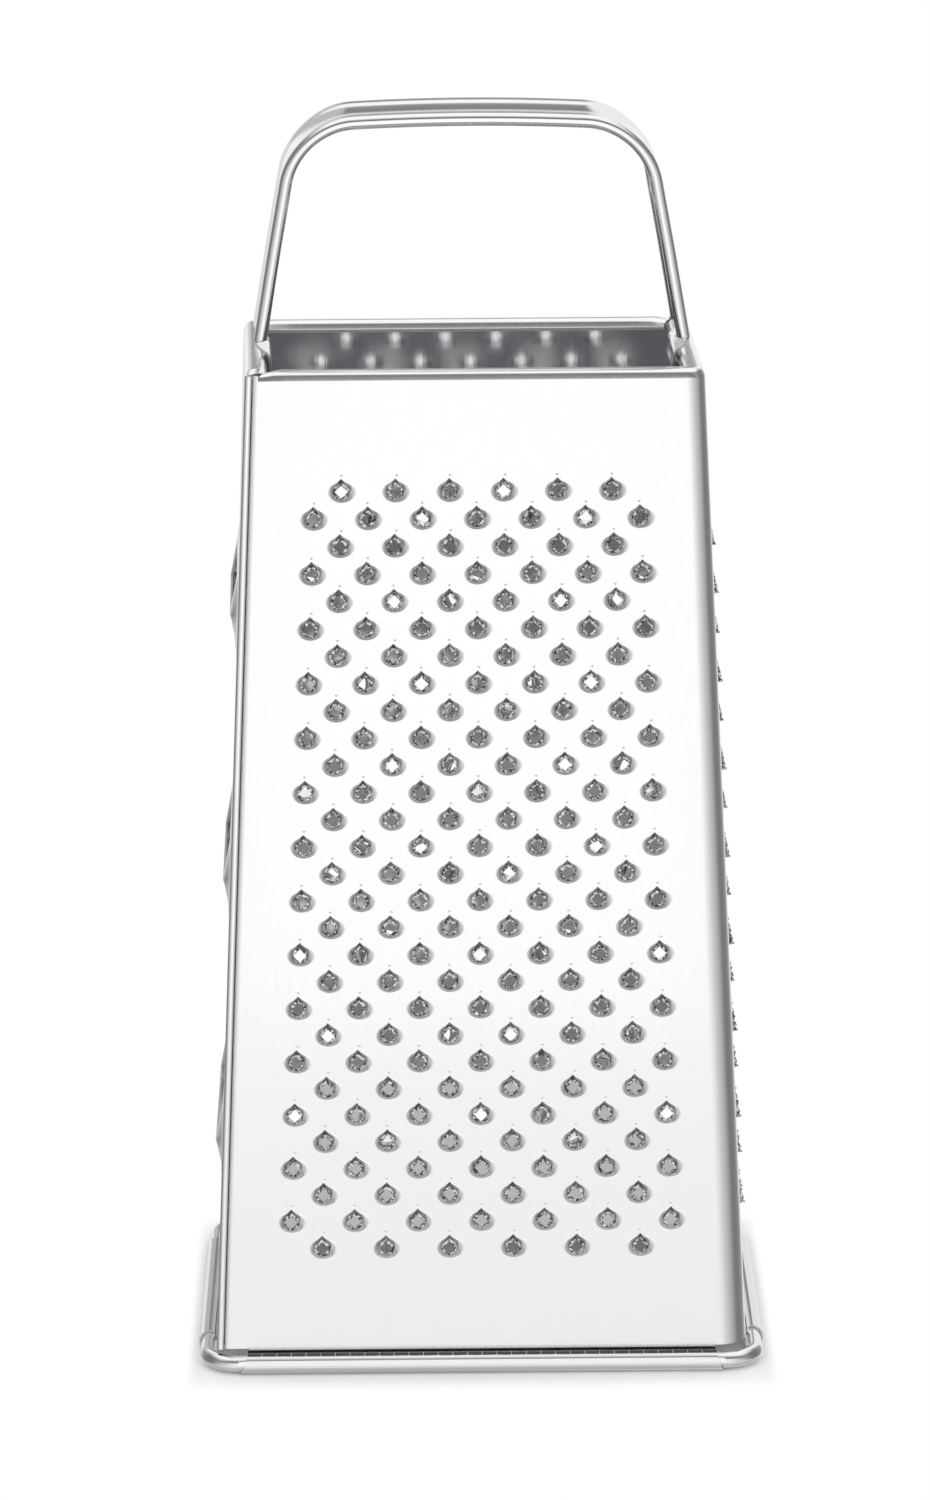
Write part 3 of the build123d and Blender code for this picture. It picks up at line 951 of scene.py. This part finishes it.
def front_right():
    chance = random.Random(TEAR_SEED)
    skin, wide, narrow = start_sheet()
    wide_holes = []
    for s, z in FINE:
        wide_holes.append(add_spot(skin, wide, s, z, tooth_rings(chance), TOOTH_FINISHES, TOOTH_METALS))
        wide_holes.append(add_nick(skin, wide, s + chance.uniform(*NICK_DRIFT), z + NICK_RISE))
    crown = crown_rings(MEDIUM_HOLE, MEDIUM_BASE, MEDIUM_RISE)
    narrow_holes = [add_spot(skin, narrow, s, z, crown, CROWN_FINISHES, CROWN_METALS) for s, z in MEDIUM]
    add_rim(skin)
    build_wall(skin, wide, wide_holes)
    build_wall(skin, narrow, narrow_holes)
    return skin.mesh("front_right_sheet_dressed")


def back_left():
    skin, wide, narrow = start_sheet()
    lip = lip_rings(COARSE_HOLE, COARSE_BASE, COARSE_RISE)
    wide_holes = [add_spot(skin, wide, s, z, lip, LIP_FINISHES, LIP_METALS) for s, z in COARSE]
    narrow_holes = [add_slicer(skin, narrow, crest) for crest in CRESTS]
    add_rim(skin)
    build_wall(skin, wide, wide_holes)
    build_wall(skin, narrow, narrow_holes)
    mesh = skin.mesh("back_left_sheet_dressed")
    mesh.transform(Matrix.Rotation(math.pi, 4, "Z"))
    return mesh


for node, mesh in (("front_right_sheet", front_right()), ("back_left_sheet", back_left())):
    rack(mesh)
    piece = add_piece(node + "_dressed", mesh, sheet_finishes)
    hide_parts(node)

# %% [markdown]
# The handle is one steel strap. Its two long edges are rolled into little tubes, and the strip between them
# sinks into a shallow trough. Below the tubes' open ends the strip hooks over the rim, slants to the wall and
# is spot welded there, which leaves two faint round dents in each tab. A curve with a bevel could follow the
# arch, but not change its section on the way, so the path is worked out first as corners with round bends.

# %% Path of the handle
STRAP_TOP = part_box("handle_strap")[1].z / MILLIMETRE
RIM_ROLL = 2.15
STRAP_SHEET = 0.5
ROLL_SPACING = 17.3
ROLL_RADIUS = 1.25
ROLL_WALL = 0.45
ROLL_LIFT = 2.2
STRAP_CORNER = 13.3
STRAP_LEAN = math.radians(9.6)
STRAP_INSET = 3.0
RIM_CLEARANCE, WALL_CLEARANCE = 0.35, 0.02
WEB_OFFSET = 0.75
NECK_RADIUS, NECK_DROP = 1.9, 0.3
JOG_TOP = RIM_HEIGHT - 4.15
TAB_TOP, TAB_END = JOG_TOP - 5.5, JOG_TOP - 23.5
ROLL_END = RIM_HEIGHT + ROLL_LIFT
PATH_STEP, PATH_TURN = 1.5, math.radians(5)


def leg_x(height, offset):
    """Half span of the handle's leg at a height, measured outside the tubes' centres."""
    foot = half_width(RIM_HEIGHT) - STRAP_INSET
    return foot - (height - ROLL_END) * math.tan(STRAP_LEAN) + offset / math.cos(STRAP_LEAN)


def strap_half():
    """Corners of the strap's middle line from a tab to the top, each with its radius."""
    inner = half_width(RIM_HEIGHT) - 2 * RIM_ROLL - RIM_CLEARANCE - STRAP_SHEET / 2
    gap = SHEET + WALL_CLEARANCE + STRAP_SHEET / 2
    neck = ROLL_END - NECK_DROP
    top = STRAP_TOP - ROLL_RADIUS + WEB_OFFSET
    return [
        ((half_width(TAB_END) - gap, TAB_END), 0),
        ((half_width(TAB_TOP) - gap, TAB_TOP), NECK_RADIUS),
        ((inner, JOG_TOP), NECK_RADIUS),
        ((inner, RIM_HEIGHT - NECK_DROP), NECK_RADIUS),
        ((leg_x(neck, WEB_OFFSET), neck), NECK_RADIUS),
        ((leg_x(top, WEB_OFFSET), top), STRAP_CORNER + WEB_OFFSET),
    ]


def rounded_path(corners):
    """Evenly filled points and outward normals along a polyline with round corners."""
    places = [Vector(place) for place, _ in corners]
    stretches = []
    start = places[0]
    for i, (_, radius) in enumerate(corners[1:-1], 1):
        into = (places[i] - places[i - 1]).normalized()
        away = (places[i + 1] - places[i]).normalized()
        turn = into.angle_signed(away)
        reach = radius * math.tan(abs(turn) / 2)
        first, last = places[i] - into * reach, places[i] + away * reach
        stretches.append((start, first, into, 0.0, 0.0))
        stretches.append((first, last, into, turn, radius))
        start = last
    stretches.append((start, places[-1], (places[-1] - start).normalized(), 0.0, 0.0))
    made = []
    for first, last, into, turn, radius in stretches:
        count = max(2, round((last - first).length / PATH_STEP))
        if turn:
            count = max(6, round(abs(turn) / PATH_TURN))
        for i in range(count):
            share = i / count
            heading = into.copy()
            place = first.lerp(last, share)
            if turn:
                heading.rotate(Matrix.Rotation(-turn * share, 2))
                chord = into.copy()
                chord.rotate(Matrix.Rotation(-turn * share / 2, 2))
                place = first + chord * (2 * radius * math.sin(abs(turn) * share / 2))
            made.append((place, Vector((heading.y, -heading.x))))
    last = stretches[-1]
    made.append((last[1], Vector((last[2].y, -last[2].x))))
    return made


half = strap_half()
strap_path = rounded_path(half + [((-x, z), radius) for (x, z), radius in reversed(half)])
print("strap path:", len(strap_path), "stations, top at", round(max(p.y for p, _ in strap_path), 2))

# %% [markdown]
# Across the strap, the outline starts at the curled edge of one tube, goes round it, dips through the trough
# and ends at the curled edge of the other. Only the strip between the tubes goes on below their ends, which
# are pinched a little. Pressing leaves the top slightly arched, and that bend is given to the finished mesh.

# %% Dressed handle
TROUGH = (
    (-8.5, 1.24), (-7.0, 1.0), (-5.0, 0.74), (-3.0, 0.58), (-0.7, 0.5), (1.0, 0.54), (3.0, 0.66), (4.7, 0.83),
    (5.6, 0.99), (6.5, 1.16), (7.2, 1.235), (8.6, 1.25),
)
TROUGH_PARTS = 4
TROUGH_FADE = 4.0
ROLL_SWEEP, ROLL_STEPS = 318, 34
ROLL_PINCH, PINCH_LENGTH = 0.16, 0.45
TUBE_START = ROLL_SPACING / 2 - 0.3
WELD_SPACING, WELD_DENT, WELD_DEPTH = 7.0, 2.0, 0.1
BOW, BOW_REACH = 0.55, 22.0
BOW_START, BOW_WHOLE = 214.0, STRAP_TOP - 4.0


def smooth_through(points, steps):
    """A curve that runs smoothly through the points."""
    made = []
    for i in range(len(points) - 1):
        before, first = points[max(i - 1, 0)], points[i]
        last, after = points[i + 1], points[min(i + 2, len(points) - 1)]
        for j in range(steps):
            t = j / steps
            place = []
            for a, b, c, d in zip(before, first, last, after):
                square, cube = 2 * a - 5 * b + 4 * c - d, 3 * b - a - 3 * c + d
                place.append(0.5 * (2 * b + (c - a) * t + square * t**2 + cube * t**3))
            made.append(tuple(place))
    return made + [points[-1]]


def strap_section():
    """Points (across, out) of one tube, then the web, then the other tube."""
    turns = [math.radians(t) for t in spread(ROLL_SWEEP, 0, ROLL_STEPS)]
    tube = [(-ROLL_SPACING / 2 - ROLL_RADIUS * math.sin(t), ROLL_RADIUS * math.cos(t)) for t in turns]
    return tube, smooth_through(TROUGH, TROUGH_PARTS), [(-y, n) for y, n in reversed(tube)]


def dressed_strap():
    skin = Skin()
    tube, web, far_tube = strap_section()
    section = tube + web + far_tube
    flat = WEB_OFFSET + STRAP_SHEET / 2
    weld_height = (TAB_TOP + TAB_END) / 2
    ends = [i for i, (place, _) in enumerate(strap_path) if place.y >= ROLL_END]
    rows = []
    for i, (place, normal) in enumerate(strap_path):
        on_arch = ends[0] <= i <= ends[-1]
        to_end = abs(place.y - ROLL_END)
        squeeze = 1 - ROLL_PINCH + ROLL_PINCH * min(to_end / PINCH_LENGTH, 1.0)
        sunk = 1.0 if on_arch else max(0.0, 1 - to_end / TROUGH_FADE)
        points = section if on_arch else [tube[-1]] + web + [far_tube[0]]
        row = []
        for across, out in points:
            in_tube = abs(across) > TUBE_START
            if in_tube and on_arch:
                middle = math.copysign(ROLL_SPACING / 2, across)
                across, out = middle + (across - middle) * squeeze, out * squeeze
            else:
                out = flat + (out - flat) * sunk
            x, z = place + normal * (out - WEB_OFFSET)
            weld = math.hypot(abs(across) - WELD_SPACING / 2, z - weld_height)
            dent = WELD_DEPTH * max(0.0, 1 - (weld / WELD_DENT) ** 4)
            row.append(skin.corner((x, across, z), ROLL_WALL if in_tube else STRAP_SHEET - dent))
        rows.append(row)
    strip = slice(len(tube) - 1, len(tube) + len(web) + 1)
    skin.grid(rows[: ends[0]] + [rows[ends[0]][strip]])
    skin.grid(rows[ends[0] : ends[-1] + 1])
    skin.grid([rows[ends[-1]][strip]] + rows[ends[-1] + 1 :])
    return skin.mesh("handle_strap_dressed")


def bow(mesh):
    """Bends the top of the handle into a slight arch."""
    for vertex in mesh.vertices:
        x, z = vertex.co.x / MILLIMETRE, vertex.co.z / MILLIMETRE
        share = min(max((z - BOW_START) / (BOW_WHOLE - BOW_START), 0.0), 1.0)
        vertex.co.z -= BOW * (x / BOW_REACH) ** 2 * share * MILLIMETRE
    mesh.update()


strap_mesh = dressed_strap()
bow(strap_mesh)
rack(strap_mesh)
strap_finishes = [bright_strap, cut_edge, torn_burr, bright_strap]
strap_piece = add_piece("handle_strap_dressed", strap_mesh, strap_finishes)
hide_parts("handle_strap")

# %% [markdown]
# The wire is round and plain, and its measured shape can't be bettered, so only its finish changes.

# %% Finish the wire
wire_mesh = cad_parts["base_wire"].data
wire_mesh.materials.clear()
wire_mesh.materials.append(bright_wire)
print("the wire wears", bright_wire.name)

# %% [markdown]
# The studio is a white table under a white sky, which light the steel softly from all round. Polished steel
# shows what stands round it. Cards could be stood there one by one, but a sky painted by angle is smoother,
# and what it mirrors stays apart from the light: bright ahead and overhead, dark above the camera and at the
# sides, as a photographer's black cards would make it. One ramp follows the arc from the ground in front,
# over the top, to the ground behind, and another follows the compass round. The darker of the two wins. A
# third adds two bright cards behind the grater, one each side of the middle, for its round edges to mirror.

# %% Painted sky
ARC_STOPS = (
    (-180, "#F5F5F5"), (-168, "#E1E1E1"), (-161, "#B9B9B9"), (-150, "#929292"), (-85, "#8E8E8E"),
    (-65, "#949494"), (-50, "#9D9D9D"), (-45, "#A4A4A4"), (-37, "#BBBBBB"), (-30, "#E1E1E1"),
    (-24, "#F0F0F0"), (-16, "#EAEAEA"), (-13.5, "#DADADA"), (-12, "#E0E0E0"), (-10.6, "#F6F6F6"),
    (-9.5, "#FFFFFF"), (20, "#FFFFFF"), (25, "#B4B4B4"), (32, "#6C6C6C"), (40, "#6C6C6C"), (47, "#8C8C8C"),
    (56, "#A0A0A0"), (64, "#C8C8C8"), (74, "#F2F2F2"), (84, "#FAFAFA"), (148, "#FCFCFC"), (153, "#E6E6E6"),
    (158, "#8C8C8C"), (168, "#7C7C7C"), (171, "#BEBEBE"), (175, "#EBEBEB"), (180, "#F5F5F5"),
)
COMPASS_STOPS = (
    (0, "#FFFFFF"), (8, "#FAFAFA"), (15, "#EBEBEB"), (26, "#DCDCDC"), (40, "#C6C6C6"), (52, "#B8B8B8"),
    (65, "#A5A5A5"), (76, "#8E8E8E"), (86, "#737373"), (110, "#737373"), (130, "#8C8C8C"),
    (145, "#B4B4B4"), (160, "#F0F0F0"), (180, "#FFFFFF"),
)
BEHIND_STOPS = (
    (-180, "#000000"), (-42, "#000000"), (-30, "#B9B9B9"), (-6, "#B9B9B9"), (-4, "#000000"),
    (4, "#000000"), (6, "#EBEBEB"), (30, "#EBEBEB"), (42, "#000000"), (180, "#000000"),
)
FULL_TURN = 360.0
OVERHEAD_FROM, OVERHEAD_TO = 0.6, 0.85


def painted(tree, stops, side, ahead):
    """Colour by the angle from ahead toward a side, between stops given in degrees from -180 to 180."""
    angle = add_node(tree, "ShaderNodeMath", {"operation": "ARCTAN2"}, {0: side, 1: ahead}).outputs["Value"]
    to_share = {"operation": "MULTIPLY_ADD", 1: 1 / (2 * math.pi), 2: 0.5}
    turn = add_node(tree, "ShaderNodeMath", to_share, {0: angle}).outputs["Value"]
    ramp = add_node(tree, "ShaderNodeValToRGB", {}, {"Fac": turn})
    set_stops(ramp, [(degrees / FULL_TURN + 0.5, code) for degrees, code in stops])
    return ramp.outputs["Color"]


def painted_sky():
    world = bpy.data.worlds.new("painted_sky")
    world.use_nodes = True
    bpy.context.scene.world = world
    tree = world.node_tree
    tree.nodes.clear()
    toward = add_node(tree, "ShaderNodeTexCoord").outputs["Generated"]
    way = add_node(tree, "ShaderNodeSeparateXYZ", {}, {"Vector": toward}).outputs
    turned = add_node(tree, "ShaderNodeMath", {"operation": "MULTIPLY", 1: -1.0}, {0: way["Y"]})
    front = turned.outputs["Value"]
    aside = add_node(tree, "ShaderNodeMath", {"operation": "ABSOLUTE"}, {0: way["X"]}).outputs["Value"]
    arc_colour = painted(tree, ARC_STOPS, way["Z"], front)
    compass = painted(tree, COMPASS_STOPS, aside, front)
    behind = painted(tree, BEHIND_STOPS, way["X"], way["Y"])
    darker = add_node(tree, "ShaderNodeMath", {"operation": "MINIMUM"}, {0: arc_colour, 1: compass})
    level = add_node(
        tree, "ShaderNodeMath", {"operation": "MAXIMUM"}, {0: darker.outputs["Value"], 1: behind}
    )
    overhead = add_node(
        tree, "ShaderNodeMapRange", {"From Min": OVERHEAD_FROM, "From Max": OVERHEAD_TO}, {"Value": way["Z"]}
    )
    mirrored = add_node(
        tree, "ShaderNodeMix", {"data_type": "FLOAT"},
        {0: overhead.outputs["Result"], 2: level.outputs["Value"], 3: arc_colour},
    )
    rays = add_node(tree, "ShaderNodeLightPath")
    shown = add_node(
        tree, "ShaderNodeMix", {"data_type": "FLOAT", 2: 1.0},
        {0: rays.outputs["Is Glossy Ray"], 3: mirrored.outputs[0]},
    )
    sky = add_node(tree, "ShaderNodeBackground", {"Strength": 1.0}, {"Color": shown.outputs[0]})
    output = tree.nodes.new("ShaderNodeOutputWorld")
    tree.links.new(sky.outputs["Background"], output.inputs["Surface"])


painted_sky()
print("sky painted with", len(ARC_STOPS) + len(COMPASS_STOPS) + len(BEHIND_STOPS), "stops")

# %% [markdown]
# The table is white and glows just enough to be pure white in the picture. Close round the foot it turns to
# plain matt white, which takes the grater's soft shadow. In the steel the whole table would mirror as one
# flat white, so mirror rays pass through it to the sky painted below, and only the shaded part near the
# foot shows faintly in them.

# %% White table
TABLE_REACH = 6.0
SHADOW_SIDE, SHADOW_FRONT = 2.5, 9.0
TABLE_FAINT = 0.55
WHITE = linear("#FFFFFF")


def studio_sheet(name, corners, material):
    """Puts one flat four-cornered sheet in the studio."""
    mesh = bpy.data.meshes.new(name)
    mesh.from_pydata(corners, [], [[0, 1, 2, 3]])
    mesh.materials.append(material)
    sheet = bpy.data.objects.new(name, mesh)
    bpy.context.scene.collection.objects.link(sheet)
    return sheet


def white_table():
    material, tree, output = new_material("white_table")
    matt = add_node(tree, "ShaderNodeBsdfDiffuse", {"Color": WHITE})
    glow = add_node(tree, "ShaderNodeEmission", {"Color": WHITE, "Strength": 1.0})
    beyond = add_node(tree, "ShaderNodeTexCoord").outputs["Object"]
    nothing = (0.0, 0.0, 0.0)
    footprint = (cad_box[1][0], cad_box[1][1], 0.0)
    fade = (SHADOW_SIDE * MILLIMETRE, SHADOW_FRONT * MILLIMETRE, 1.0)
    steps = (("ABSOLUTE", nothing), ("SUBTRACT", footprint), ("MAXIMUM", nothing), ("DIVIDE", fade))
    for operation, value in steps:
        step = add_node(tree, "ShaderNodeVectorMath", {"operation": operation, 1: value}, {0: beyond})
        beyond = step.outputs["Vector"]
    away = add_node(tree, "ShaderNodeVectorMath", {"operation": "LENGTH"}, {0: beyond}).outputs["Value"]
    lit = add_node(tree, "ShaderNodeMapRange", {"interpolation_type": "SMOOTHSTEP"}, {"Value": away})
    mixed = add_node(
        tree, "ShaderNodeMixShader", {},
        {0: lit.outputs["Result"], 1: matt.outputs["BSDF"], 2: glow.outputs["Emission"]},
    )
    rays = add_node(tree, "ShaderNodeLightPath")
    faint = add_node(
        tree, "ShaderNodeMath", {"operation": "MAXIMUM", 1: TABLE_FAINT}, {0: lit.outputs["Result"]}
    )
    unmirrored = add_node(
        tree, "ShaderNodeMath", {"operation": "MULTIPLY"},
        {0: rays.outputs["Is Glossy Ray"], 1: faint.outputs["Value"]},
    )
    clear = add_node(tree, "ShaderNodeBsdfTransparent")
    shown = add_node(
        tree, "ShaderNodeMixShader", {},
        {0: unmirrored.outputs["Value"], 1: mixed.outputs["Shader"], 2: clear.outputs["BSDF"]},
    )
    tree.links.new(shown.outputs["Shader"], output.inputs["Surface"])
    reach = TABLE_REACH
    corners = [(-reach, -reach, 0), (reach, -reach, 0), (reach, reach, 0), (-reach, reach, 0)]
    table = studio_sheet("table", corners, material)


white_table()
print("the table's shade reaches", SHADOW_SIDE, "mm beyond the sides and", SHADOW_FRONT, "mm to the front")

# %% [markdown]
# A white card stands before the grater, out of the picture. Brushed steel smears what it mirrors, so the
# front would also pick up the darker sky beside and above, and the card keeps it an even white. A lamp could
# do that too, but it would light everything else. Only mirror rays see the card, and its edges fade so that
# no hard line shows in the steel.

# %% White card
CARD_AHEAD, CARD_HALF, CARD_TALL, CARD_FADE = 0.34, 0.08, 0.32, 0.02


def white_card():
    material, tree, output = new_material("white_card")
    glow = add_node(tree, "ShaderNodeEmission", {"Color": WHITE, "Strength": 1.0})
    clear = add_node(tree, "ShaderNodeBsdfTransparent")
    place = add_node(tree, "ShaderNodeTexCoord").outputs["Object"]
    split = add_node(tree, "ShaderNodeSeparateXYZ", {}, {"Vector": place}).outputs
    aside = add_node(tree, "ShaderNodeMath", {"operation": "ABSOLUTE"}, {0: split["X"]}).outputs["Value"]
    fades = []
    for position, edge in ((aside, CARD_HALF), (split["Z"], CARD_TALL)):
        fade = add_node(
            tree, "ShaderNodeMapRange",
            {"From Min": edge - CARD_FADE, "From Max": edge, "interpolation_type": "SMOOTHSTEP"},
            {"Value": position},
        )
        fades.append(fade.outputs["Result"])
    faded = add_node(tree, "ShaderNodeMath", {"operation": "MAXIMUM"}, dict(enumerate(fades)))
    mixed = add_node(
        tree, "ShaderNodeMixShader", {},
        {0: faded.outputs["Value"], 1: glow.outputs["Emission"], 2: clear.outputs["BSDF"]},
    )
    tree.links.new(mixed.outputs["Shader"], output.inputs["Surface"])
    corners = [
        (-CARD_HALF, -CARD_AHEAD, 0.0), (CARD_HALF, -CARD_AHEAD, 0.0),
        (CARD_HALF, -CARD_AHEAD, CARD_TALL), (-CARD_HALF, -CARD_AHEAD, CARD_TALL),
    ]
    card = studio_sheet("white_card", corners, material)
    card.visible_camera = card.visible_diffuse = card.visible_transmission = card.visible_shadow = False


white_card()
print("the card is", 2 * CARD_HALF, "m wide and", CARD_TALL, "m tall")

# %% [markdown]
# The picture is taken from the front, a little above and just left of the middle, with a long lens. Its
# place was fitted to the photograph, and a lens given in pixels turns to millimetres on any sensor.

# %% Camera
CAMERA_DISTANCE = 1255.5
CAMERA_TARGET = (-2.24, 0, 113.6)
CAMERA_ELEVATION, CAMERA_AZIMUTH, CAMERA_ROLL = 15.32, -0.4, -0.37
FOCAL_PIXELS, FRAME_HEIGHT = 6444.7, 1500
SENSOR = 36.0


def place_camera():
    angles = (CAMERA_ELEVATION, CAMERA_AZIMUTH, CAMERA_ROLL)
    elevation, azimuth, roll = (math.radians(angle) for angle in angles)
    level = math.cos(elevation)
    back = Vector((math.sin(azimuth) * level, -math.cos(azimuth) * level, math.sin(elevation)))
    right = Vector((math.cos(azimuth), math.sin(azimuth), 0))
    up = back.cross(right)
    tilted_right = right * math.cos(roll) + up * math.sin(roll)
    tilted_up = up * math.cos(roll) - right * math.sin(roll)
    data = bpy.data.cameras.new("camera")
    data.sensor_fit = "VERTICAL"
    data.sensor_height = SENSOR
    data.sensor_width = SENSOR
    data.lens = SENSOR * FOCAL_PIXELS / FRAME_HEIGHT
    camera = bpy.data.objects.new("camera", data)
    turn = Matrix((tilted_right, tilted_up, back)).transposed().to_4x4()
    place = (Vector(CAMERA_TARGET) + back * CAMERA_DISTANCE) * MILLIMETRE
    camera.matrix_world = Matrix.Translation(place) @ turn
    bpy.context.scene.collection.objects.link(camera)
    bpy.context.scene.camera = camera
    print("camera at", [round(v, 4) for v in camera.matrix_world.translation])


place_camera()
bpy.context.scene.view_settings.view_transform = "Standard"
